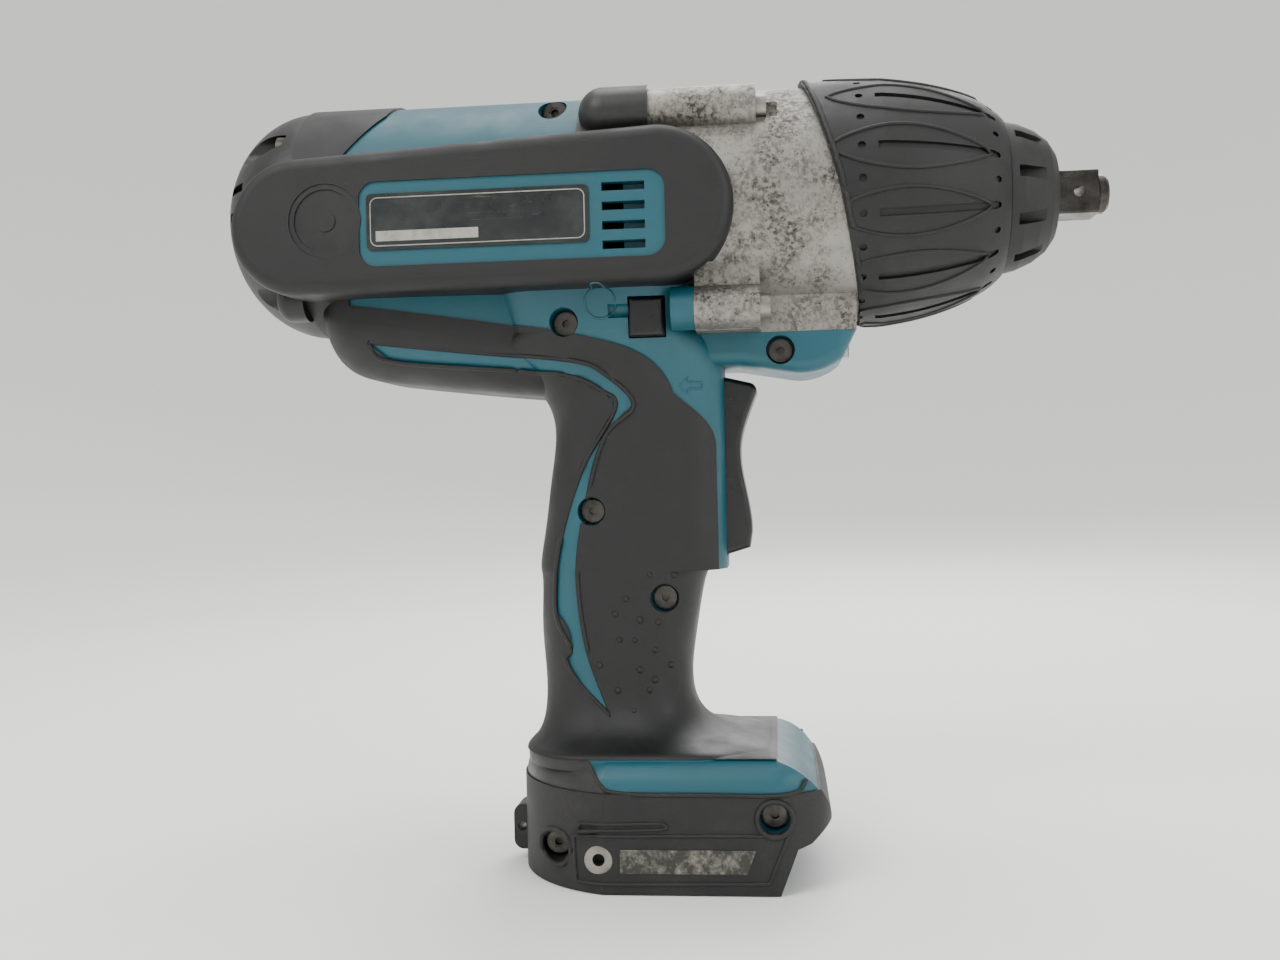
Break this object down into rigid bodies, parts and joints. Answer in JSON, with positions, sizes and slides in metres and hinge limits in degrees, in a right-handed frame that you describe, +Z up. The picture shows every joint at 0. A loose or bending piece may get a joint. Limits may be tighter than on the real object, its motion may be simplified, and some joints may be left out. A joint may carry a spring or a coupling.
{
  "type": "impact wrench",
  "caption": "Cordless pistol-grip impact wrench with a square drive, planetary gearing, sliding hammer, trigger and an open battery bay under the foot.",
  "frame": {"origin": "centre of the bounding box in plan, on the plane the foot stands on", "axes": "+X out of the nose along the spindle axis, +Z up, +Y to the left of someone holding it"},
  "size_m": [0.266, 0.0802, 0.2333],
  "materials": {
    "teal_housing": "moulded, slight texture",
    "ring_rubber": "soft matt",
    "grip_rubber": "soft matt, worn",
    "guard_rubber": "matt, scuffed",
    "rear_plastic": "fine spark texture",
    "screw_steel": "blackened",
    "name_plate": "printed film, blank",
    "cap_plastic": "moulded",
    "case_metal": "raw casting",
    "bronze": "sintered",
    "bumper_rubber": "matt, dusty",
    "gear_steel": "hardened, greased",
    "gear_case_nylon": "glass-filled nylon",
    "bearing_steel": "ground",
    "yoke_steel": "zinc plated",
    "ferrite": "matt",
    "core_steel": "stacked sheets",
    "copper": "enamelled or turned",
    "fan_plastic": "moulded",
    "shaft_steel": "ground",
    "board": "paper laminate",
    "carbon": "pressed carbon",
    "spring_steel": "oiled",
    "impact_steel": "hardened, greased",
    "anvil_steel": "blackened, worn bright",
    "o_ring": "smooth",
    "trigger_plastic": "moulded",
    "switch_plastic": "moulded",
    "lens": "clear moulding",
    "lead_skin": "insulated wire",
    "insert_steel": "plated",
    "lug_plastic": "moulded"
  },
  "bodies": {
    "housing": {"housing_right": "teal_housing", "housing_left": "teal_housing", "motor_ring_right": "ring_rubber", "motor_ring_left": "ring_rubber", "grip_rubber_right": "grip_rubber", "grip_rubber_left": "grip_rubber", "foot_guard_right": "guard_rubber", "foot_guard_left": "guard_rubber", "rear_cover": "rear_plastic", "cover_screws": "screw_steel", "housing_screws": "screw_steel", "case_screws": "screw_steel", "name_plates": "name_plate", "brush_caps": "cap_plastic", "hammer_case": "case_metal", "front_bush": "bronze", "bumper": "bumper_rubber", "nose_ring": "bumper_rubber", "ring_gear": "gear_steel", "gear_case": "gear_case_nylon", "rear_bearing": "bearing_steel", "front_bearing": "bearing_steel", "spindle_bearing": "bearing_steel", "motor_yoke": "yoke_steel", "magnets": "ferrite", "brush_holders": "copper", "terminal_blades": "copper", "brush_plate": "board", "light_board": "board", "carbon_brushes": "carbon", "brush_springs": "spring_steel", "trigger_spring": "spring_steel", "anvil_washer": "impact_steel", "switch_body": "switch_plastic", "terminal_block": "switch_plastic", "light_lens": "lens", "battery_leads": "lead_skin", "motor_leads": "lead_skin", "hook_inserts": "insert_steel", "strap_lug": "lug_plastic"},
    "armature": {"armature_shaft": "shaft_steel", "armature_core": "core_steel", "armature_windings": "copper", "commutator": "copper", "motor_fan": "fan_plastic"},
    "planet_1": {"planet_gear_1": "gear_steel"},
    "planet_2": {"planet_gear_2": "gear_steel"},
    "planet_3": {"planet_gear_3": "gear_steel"},
    "spindle": {"spindle": "impact_steel", "planet_pins": "gear_steel", "cam_balls": "impact_steel", "spring_washer": "impact_steel", "hammer_spring": "spring_steel"},
    "hammer": {"hammer": "impact_steel"},
    "anvil": {"anvil": "anvil_steel", "friction_ring": "anvil_steel", "friction_o_ring": "o_ring"},
    "trigger": {"trigger": "trigger_plastic"},
    "reversing_lever": {"reversing_lever": "trigger_plastic"}
  },
  "joints": [
    {"name": "spindle_spin", "type": "hinge", "parent": "housing", "child": "spindle", "pos_m": [0.02, 0, 0.197], "axis": [1, 0, 0], "continuous": true},
    {"name": "motor_spin", "type": "hinge", "parent": "housing", "child": "armature", "pos_m": [-0.05, 0, 0.197], "axis": [1, 0, 0], "continuous": true},
    {"name": "planet_1_spin", "type": "hinge", "parent": "spindle", "child": "planet_1", "pos_m": [0.01775, 0, 0.212], "axis": [1, 0, 0], "continuous": true},
    {"name": "planet_2_spin", "type": "hinge", "parent": "spindle", "child": "planet_2", "pos_m": [0.01775, -0.01299, 0.1895], "axis": [1, 0, 0], "continuous": true},
    {"name": "planet_3_spin", "type": "hinge", "parent": "spindle", "child": "planet_3", "pos_m": [0.01775, 0.01299, 0.1895], "axis": [1, 0, 0], "continuous": true},
    {"name": "anvil_spin", "type": "hinge", "parent": "housing", "child": "anvil", "pos_m": [0.1, 0, 0.197], "axis": [1, 0, 0], "continuous": true},
    {"name": "hammer_slide", "type": "slide", "parent": "spindle", "child": "hammer", "axis": [-1, 0, 0], "range_m": [0, 0.0093], "stiffness_N_per_m": 9000, "springref_m": -0.004, "deforming": ["hammer_spring"]},
    {"name": "trigger_pull", "type": "slide", "parent": "housing", "child": "trigger", "axis": [-1, 0, 0], "range_m": [0, 0.0075], "stiffness_N_per_m": 900, "springref_m": -0.003, "deforming": ["trigger_spring"]},
    {"name": "reversing_lever_slide", "type": "slide", "parent": "housing", "child": "reversing_lever", "axis": [0, 1, 0], "range_m": [-0.0035, 0.0035]}
  ],
  "couplings": [
    {"joint": "motor_spin", "follows": "spindle_spin", "ratio": 6.6667},
    {"joint": "planet_1_spin", "follows": "spindle_spin", "ratio": -2.4286},
    {"joint": "planet_2_spin", "follows": "spindle_spin", "ratio": -2.4286},
    {"joint": "planet_3_spin", "follows": "spindle_spin", "ratio": -2.4286},
    {"joint": "anvil_spin", "follows": "spindle_spin", "ratio": 1}
  ]
}
